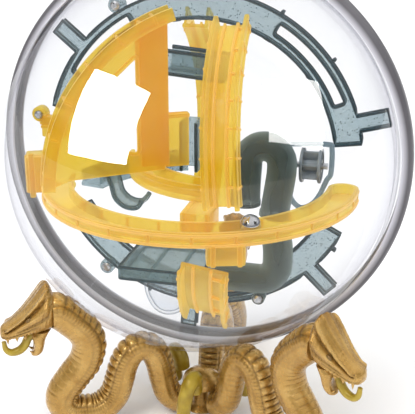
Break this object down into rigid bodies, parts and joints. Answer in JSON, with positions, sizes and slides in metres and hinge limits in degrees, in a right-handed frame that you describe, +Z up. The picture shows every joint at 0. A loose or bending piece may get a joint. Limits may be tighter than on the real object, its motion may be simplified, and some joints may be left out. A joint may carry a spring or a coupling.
{
  "type": "maze ball puzzle",
  "caption": "Clear ball of joined domes with a grey equator band and a translucent amber and smoke-blue track maze inside, resting on a stand of arched serpents.",
  "frame": {"origin": "middle of the stand's flat foot, on the ground", "axes": "+Z up; -Y towards the front dome's side that shows most of the amber tracks; +X to the right seen from the front"},
  "size_m": [0.2072, 0.2029, 0.2543],
  "materials": {
    "clear_plastic": "clear, polished",
    "band_grey": "satin mid-grey",
    "amber_plastic": "translucent amber",
    "smoke_plastic": "translucent smoke blue",
    "spinner_grey": "satin dark grey",
    "screw_steel": "plated steel",
    "ball_chrome": "polished ball bearing",
    "serpent_gold": "pearlescent old gold, slightly shiny",
    "tongue_olive": "olive gold, satin"
  },
  "bodies": {
    "stand": {"stand_hub": "serpent_gold", "serpent_left_body": "serpent_gold", "serpent_left_head": "serpent_gold", "serpent_left_jaw": "serpent_gold", "serpent_left_tongue": "tongue_olive", "serpent_left_tail": "tongue_olive", "serpent_right_body": "serpent_gold", "serpent_right_head": "serpent_gold", "serpent_right_jaw": "serpent_gold", "serpent_right_tongue": "tongue_olive", "serpent_right_tail": "tongue_olive", "serpent_back_body": "serpent_gold", "serpent_back_head": "serpent_gold", "serpent_back_jaw": "serpent_gold", "serpent_back_tongue": "tongue_olive", "serpent_back_tail": "tongue_olive"},
    "maze_ball": {"front_dome": "clear_plastic", "rear_dome": "clear_plastic", "catch_bowl": "clear_plastic", "band_lower": "band_grey", "band_upper": "band_grey", "crescent_track": "amber_plastic", "sail_panel": "amber_plastic", "meridian_track": "amber_plastic", "lower_chute": "amber_plastic", "inner_ramp": "amber_plastic", "side_bracket": "amber_plastic", "rear_arch": "amber_plastic", "frame_upper": "smoke_plastic", "frame_lower": "smoke_plastic", "upper_bridge": "smoke_plastic", "centre_chute": "smoke_plastic", "wave_strip": "smoke_plastic", "lower_tray": "smoke_plastic", "u_pipe": "smoke_plastic", "elbow_pipe": "smoke_plastic", "rear_gallery": "smoke_plastic", "spinner_hoop": "smoke_plastic", "frame_screw_top": "screw_steel", "frame_screw_low": "screw_steel", "bracket_screw": "screw_steel", "elbow_screw": "screw_steel", "spinner_axle": "screw_steel"},
    "spinner": {"spinner_wheel": "spinner_grey"},
    "marble": {"steel_ball": "ball_chrome"}
  },
  "joints": [
    {"name": "ball_lift", "type": "slide", "parent": "stand", "child": "maze_ball", "axis": [0, 0, 1], "range_m": [0, 0.15]},
    {"name": "spinner_spin", "type": "hinge", "parent": "maze_ball", "child": "spinner", "pos_m": [0.0534, -0.02673, 0.15], "axis": [0.9659, -0.2588, 0], "continuous": true},
    {"name": "steel_ball_roll", "type": "hinge", "parent": "maze_ball", "child": "marble", "pos_m": [-0.00004, -0.00982, 0.138], "axis": [0, 0, 1], "range_deg": [-103, 57]}
  ]
}
